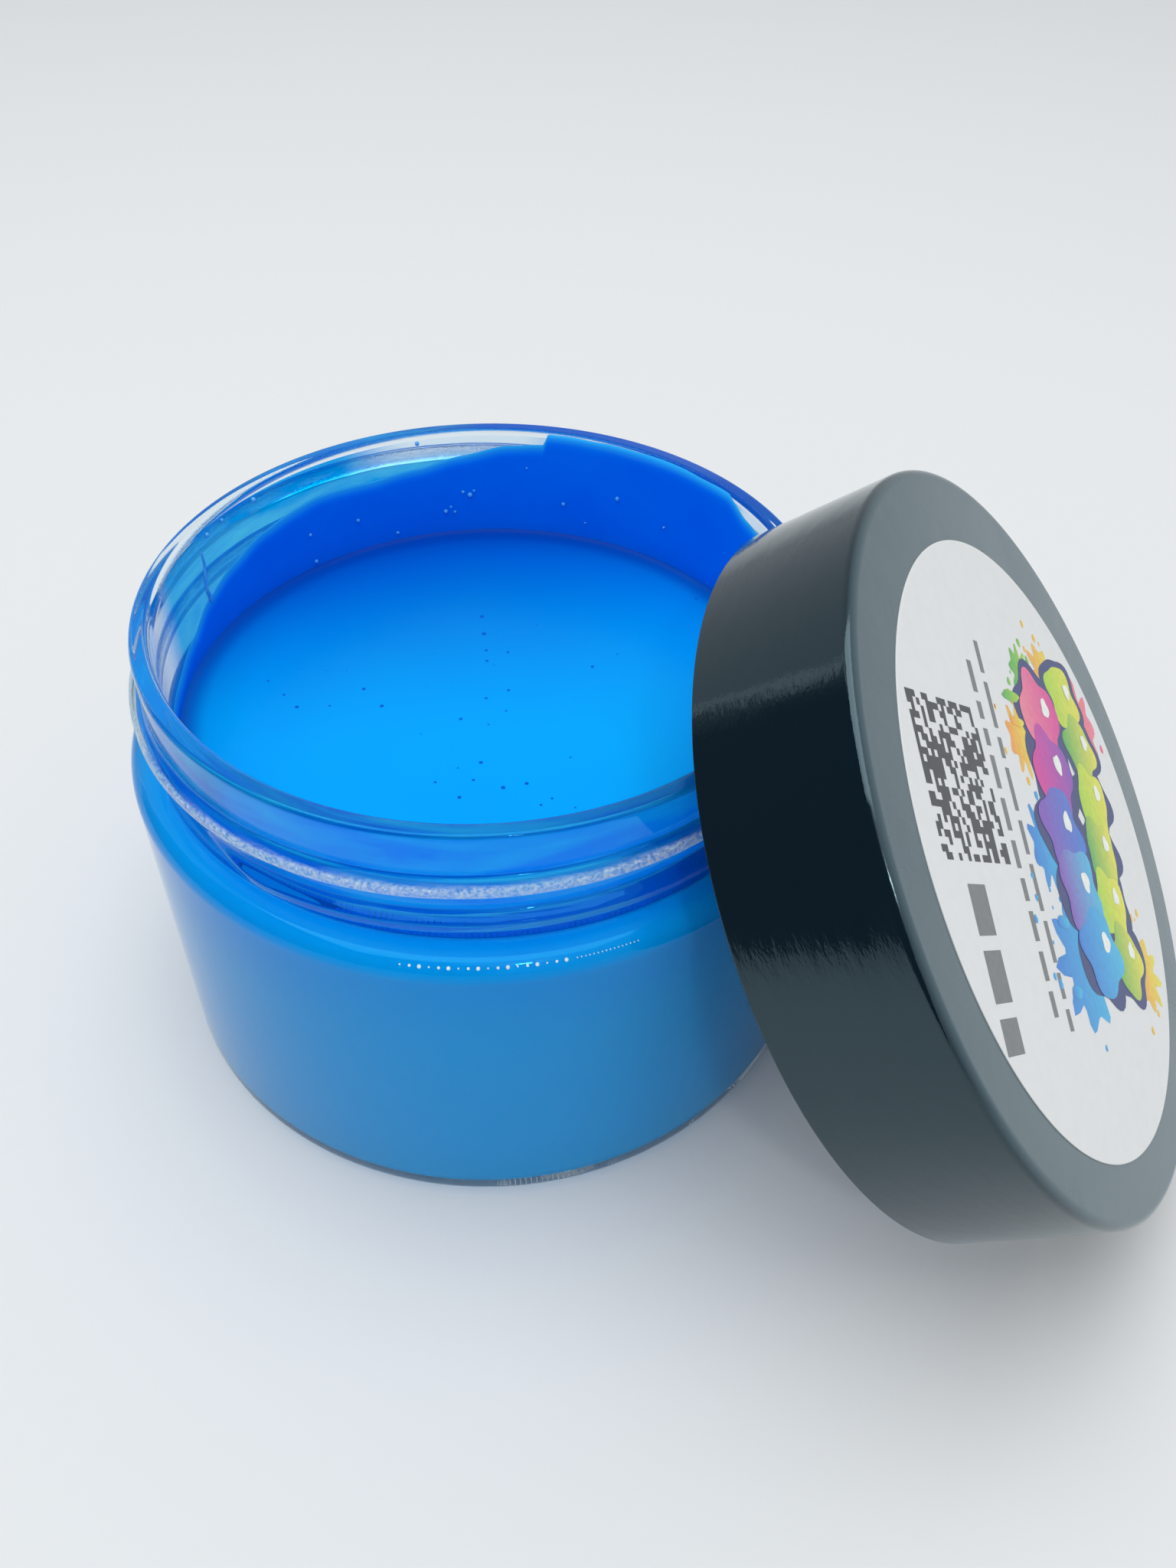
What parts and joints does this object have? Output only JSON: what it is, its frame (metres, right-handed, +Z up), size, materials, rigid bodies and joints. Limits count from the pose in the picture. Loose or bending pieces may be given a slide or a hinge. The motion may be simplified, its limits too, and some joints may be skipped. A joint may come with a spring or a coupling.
{
  "type": "paint jar",
  "caption": "Open wide-mouth screw-top jar of blue paint, with its smooth black lid leaning against the rim.",
  "frame": {"origin": "centre of the jar's base, on the surface it stands on", "axes": "+Z up along the jar's axis, +X towards the leaning lid"},
  "size_m": [0.1145, 0.075, 0.066],
  "materials": {
    "clear_plastic": "clear, glossy",
    "blue_paint": "wet, glossy",
    "blue_film": "wet, glossy",
    "black_plastic": "smooth, lightly scuffed",
    "white_foam": "closed-cell foam",
    "label_paper": "coated paper"
  },
  "bodies": {
    "jar": {"jar": "clear_plastic", "paint": "blue_paint", "paint_film": "blue_film"},
    "liner": {"liner": "white_foam"},
    "lid": {"lid": "black_plastic", "label": "label_paper"}
  },
  "joints": [
    {"name": "lid_lift", "type": "slide", "parent": "jar", "child": "liner", "axis": [0, 0, 1], "range_m": [0, 0.06]},
    {"name": "lid_turn", "type": "hinge", "parent": "liner", "child": "lid", "pos_m": [0.04477, -0.0027, 0.02864], "axis": [0.7955, 0, 0.606], "continuous": true}
  ]
}
